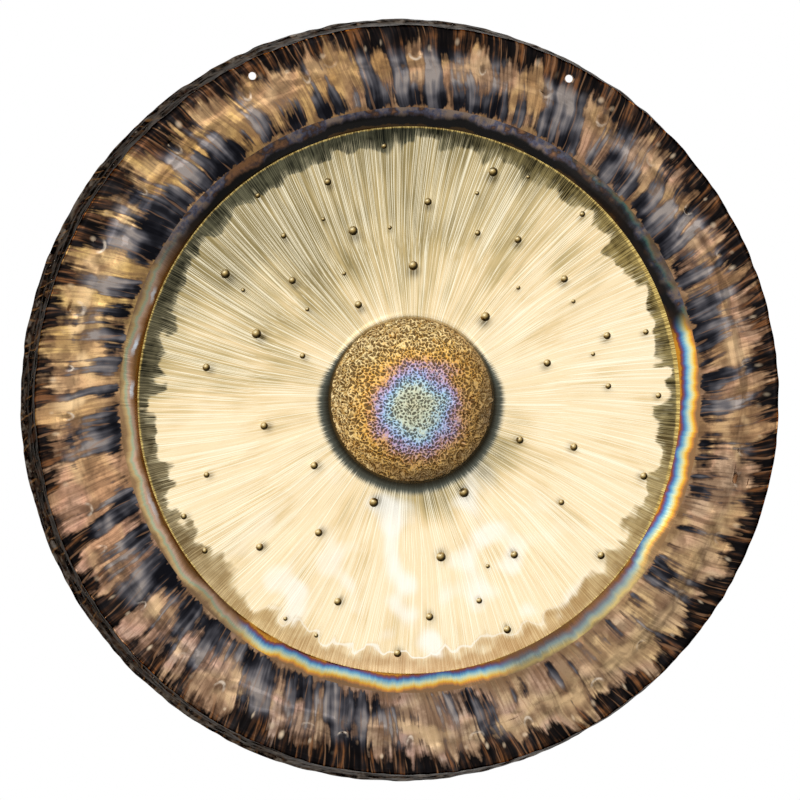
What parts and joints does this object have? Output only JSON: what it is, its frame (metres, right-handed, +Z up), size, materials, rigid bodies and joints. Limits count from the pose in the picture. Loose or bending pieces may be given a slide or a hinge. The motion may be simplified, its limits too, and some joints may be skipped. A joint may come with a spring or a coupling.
{
  "type": "tam-tam",
  "caption": "Large round hammered bronze gong with a domed boss, a radially brushed field, a rounded rim and a turned-back wall, drilled for hanging.",
  "frame": {"origin": "midway between the two hanging holes, on the front of the land they go through", "axes": "+Z up as the disc hangs, +Y along the disc's axis from its front to its open back"},
  "size_m": [0.8, 0.1199, 0.8],
  "materials": {
    "chased_bronze": "net of fine hammered ridges and pits, heat-tinted in rings of pale green, blue, violet and gold",
    "smoked_bronze": "smooth, smoked dark",
    "brushed_bronze": "bright, brushed and scratched from the centre outwards",
    "grooved_bronze": "dark green-grey scalloped edge with fine grooves",
    "tinted_bronze": "polished, heat-tinted in bands of brown, purple, blue, white and gold",
    "streaked_bronze": "glossy brown and copper with near-black radial streaks and hammer dents",
    "dark_bronze": "near-black with thin copper lines between hammer dents",
    "wall_bronze": "dark, crumpled by the hammer"
  },
  "bodies": {
    "root": {"centre_boss": "chased_bronze", "boss_moat": "smoked_bronze", "striking_field": "brushed_bronze", "field_border": "grooved_bronze", "tinted_channel": "tinted_bronze", "rim_crown": "streaked_bronze", "hanging_shoulder": "dark_bronze", "side_wall": "wall_bronze"}
  },
  "joints": []
}
